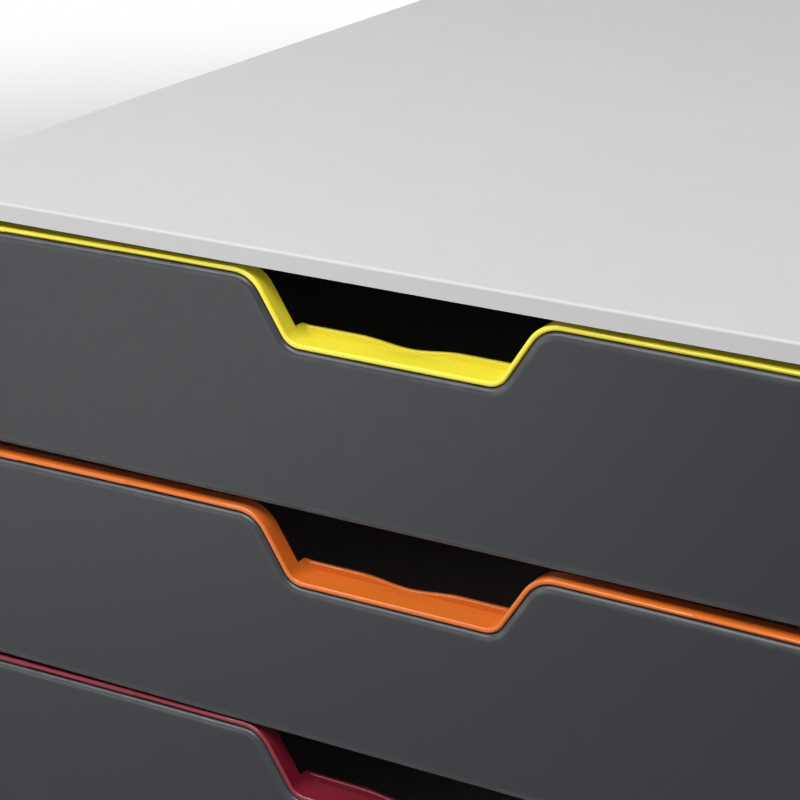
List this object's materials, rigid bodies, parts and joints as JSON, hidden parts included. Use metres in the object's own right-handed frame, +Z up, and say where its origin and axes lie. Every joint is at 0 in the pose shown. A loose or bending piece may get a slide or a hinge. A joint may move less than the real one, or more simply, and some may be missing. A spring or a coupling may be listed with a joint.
{
  "type": "desktop drawer tower",
  "caption": "Desktop drawer tower for paper: light grey housing, dark grey drawer fronts with a finger notch, and a coloured trim along each front's upper edge.",
  "frame": {"origin": "on the table, under the middle of the housing", "axes": "+Z up, +X to the right of somebody who faces the fronts, -Y towards that person, so drawers open along -Y"},
  "size_m": [0.28, 0.356, 0.292],
  "materials": {
    "housing_plastic": "light grey, fine satin grain",
    "runner_plastic": "mid grey moulded plastic",
    "tray_plastic": "light grey moulded plastic",
    "front_plastic": "anthracite, fine satin grain",
    "foot_rubber": "soft black rubber",
    "screw_steel": "zinc plated",
    "trim_yellow": "yellow, satin gloss",
    "trim_orange": "orange, satin gloss",
    "trim_red": "red, satin gloss",
    "trim_blue": "blue, satin gloss",
    "trim_green": "green, satin gloss"
  },
  "bodies": {
    "housing": {"housing_shell": "housing_plastic", "base_plate": "housing_plastic", "back_panel": "housing_plastic", "runner_left": "runner_plastic", "runner_right": "runner_plastic", "housing_screws": "screw_steel", "foot_front_left": "foot_rubber", "foot_front_right": "foot_rubber", "foot_rear_left": "foot_rubber", "foot_rear_right": "foot_rubber"},
    "drawer_1": {"drawer_1_tray": "tray_plastic", "drawer_1_trim": "trim_yellow", "drawer_1_front": "front_plastic"},
    "drawer_2": {"drawer_2_tray": "tray_plastic", "drawer_2_trim": "trim_orange", "drawer_2_front": "front_plastic"},
    "drawer_3": {"drawer_3_tray": "tray_plastic", "drawer_3_trim": "trim_red", "drawer_3_front": "front_plastic"},
    "drawer_4": {"drawer_4_tray": "tray_plastic", "drawer_4_trim": "trim_blue", "drawer_4_front": "front_plastic"},
    "drawer_5": {"drawer_5_tray": "tray_plastic", "drawer_5_trim": "trim_green", "drawer_5_front": "front_plastic"}
  },
  "joints": [
    {"name": "drawer_1_slide", "type": "slide", "parent": "housing", "child": "drawer_1", "axis": [0, -1, 0], "range_m": [0, 0.265]},
    {"name": "drawer_2_slide", "type": "slide", "parent": "housing", "child": "drawer_2", "axis": [0, -1, 0], "range_m": [0, 0.265]},
    {"name": "drawer_3_slide", "type": "slide", "parent": "housing", "child": "drawer_3", "axis": [0, -1, 0], "range_m": [0, 0.265]},
    {"name": "drawer_4_slide", "type": "slide", "parent": "housing", "child": "drawer_4", "axis": [0, -1, 0], "range_m": [0, 0.265]},
    {"name": "drawer_5_slide", "type": "slide", "parent": "housing", "child": "drawer_5", "axis": [0, -1, 0], "range_m": [0, 0.265]}
  ]
}
